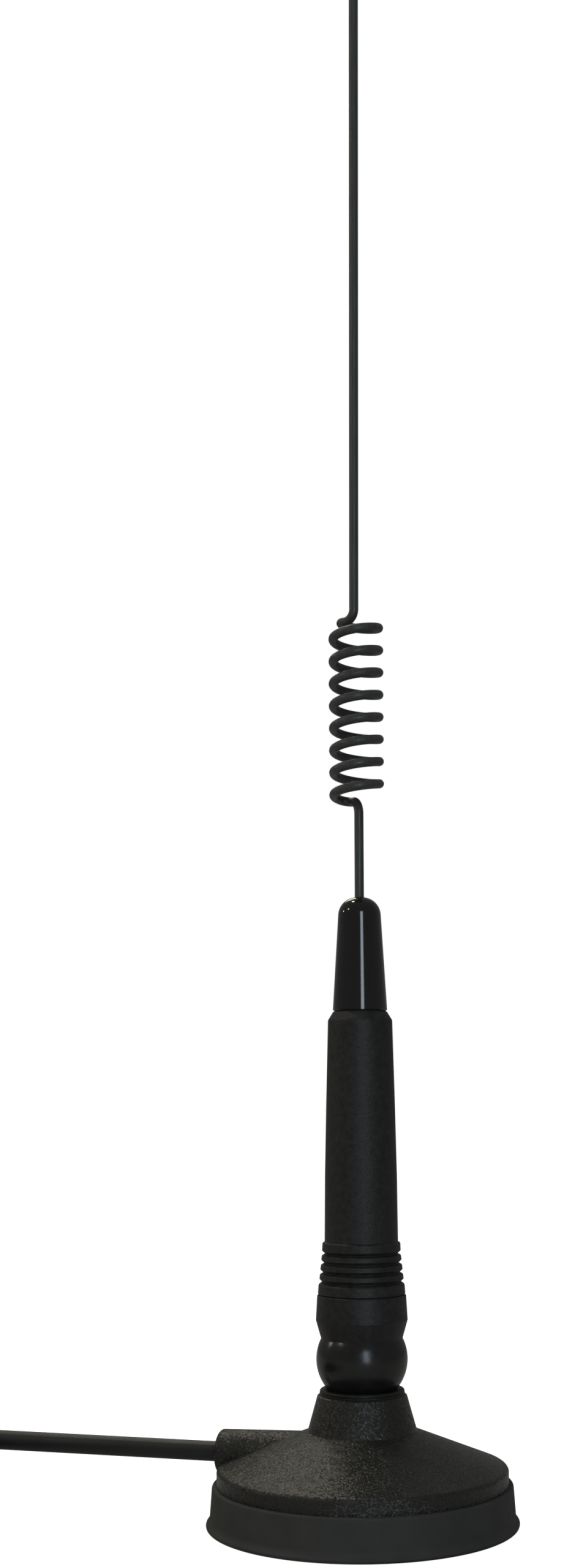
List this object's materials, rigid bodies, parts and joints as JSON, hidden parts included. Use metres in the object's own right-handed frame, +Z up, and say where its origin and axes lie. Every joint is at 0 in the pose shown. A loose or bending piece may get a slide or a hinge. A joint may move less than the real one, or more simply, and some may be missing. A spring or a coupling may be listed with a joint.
{
  "type": "omnidirectional antenna",
  "caption": "Magnetic-mount mobile antenna: round base, tilting ball joint, tapered mast, wire whip with an air coil, coaxial cable and screw-on plug.",
  "frame": {"origin": "centre of the round base's underside, on the surface it stands on", "axes": "+Z up along the mast; the cable leaves towards -X, turned 16 degrees to +Y; +Y away from the viewer"},
  "size_m": [0.2128, 0.1121, 0.44],
  "materials": {
    "housing": "textured black powder coat",
    "boot": "matte",
    "pad": "matte",
    "zinc_steel": "zinc plated",
    "ferrite": "sintered, matte",
    "black_gloss": "gloss black",
    "satin_black": "fine satin black",
    "black_plastic": "fine moulded grain",
    "gloss_black_plastic": "gloss moulded",
    "nylon": "natural nylon",
    "seal_rubber": "matte",
    "brass": "turned",
    "copper_wire": "enamelled copper",
    "wire_black": "black coated spring steel",
    "cable_jacket": "semi-matte PVC",
    "polyethylene": "translucent white",
    "nickel": "nickel plated",
    "ptfe": "white",
    "tie_strap": "hook-and-loop strap"
  },
  "bodies": {
    "base": {"base_housing": "housing", "rubber_boot": "boot", "base_pad": "pad", "steel_cup": "zinc_steel", "ring_magnet": "ferrite", "magnet_spacer": "nylon", "centre_pole": "zinc_steel", "cup_screws": "zinc_steel", "socket_ring": "black_gloss", "cable_grommet": "seal_rubber", "cable_ferrule": "nickel", "cable_end": "cable_jacket", "cable_dielectric": "polyethylene", "feed_wire": "copper_wire", "contact_tag": "brass", "shield_lug": "nickel", "lug_screw": "zinc_steel", "coax_cable": "cable_jacket", "coax_tail": "cable_jacket", "cable_coil": "cable_jacket", "coil_tie": "tie_strap", "plug_reducer": "nickel", "plug_body": "nickel", "plug_insulator": "ptfe", "plug_pin": "nickel"},
    "swivel": {"ball_seat": "nylon", "tension_bolt": "zinc_steel", "spring_washer": "zinc_steel", "lock_nut": "zinc_steel"},
    "mast": {"ball": "black_gloss", "ball_stud": "zinc_steel", "lower_collar": "satin_black", "sleeve_gasket": "seal_rubber", "sleeve": "black_plastic", "coil_former": "nylon", "loading_winding": "copper_wire", "whip_holder": "brass", "set_screws": "zinc_steel", "cap_gasket": "seal_rubber", "whip_cap": "gloss_black_plastic", "whip": "wire_black", "whip_tip": "black_gloss"},
    "plug_ring": {"coupling_ring": "nickel"}
  },
  "joints": [
    {"name": "ball_swivel", "type": "hinge", "parent": "base", "child": "swivel", "pos_m": [0, 0, 0.03965], "axis": [0, 0, 1], "continuous": true},
    {"name": "mast_tilt", "type": "hinge", "parent": "swivel", "child": "mast", "pos_m": [0, 0, 0.03965], "axis": [0, 1, 0], "range_deg": [-15, 15]},
    {"name": "coupling_ring_spin", "type": "hinge", "parent": "base", "child": "plug_ring", "pos_m": [-0.127, -0.0653, 0.0094], "axis": [1, 0, 0], "continuous": true}
  ]
}
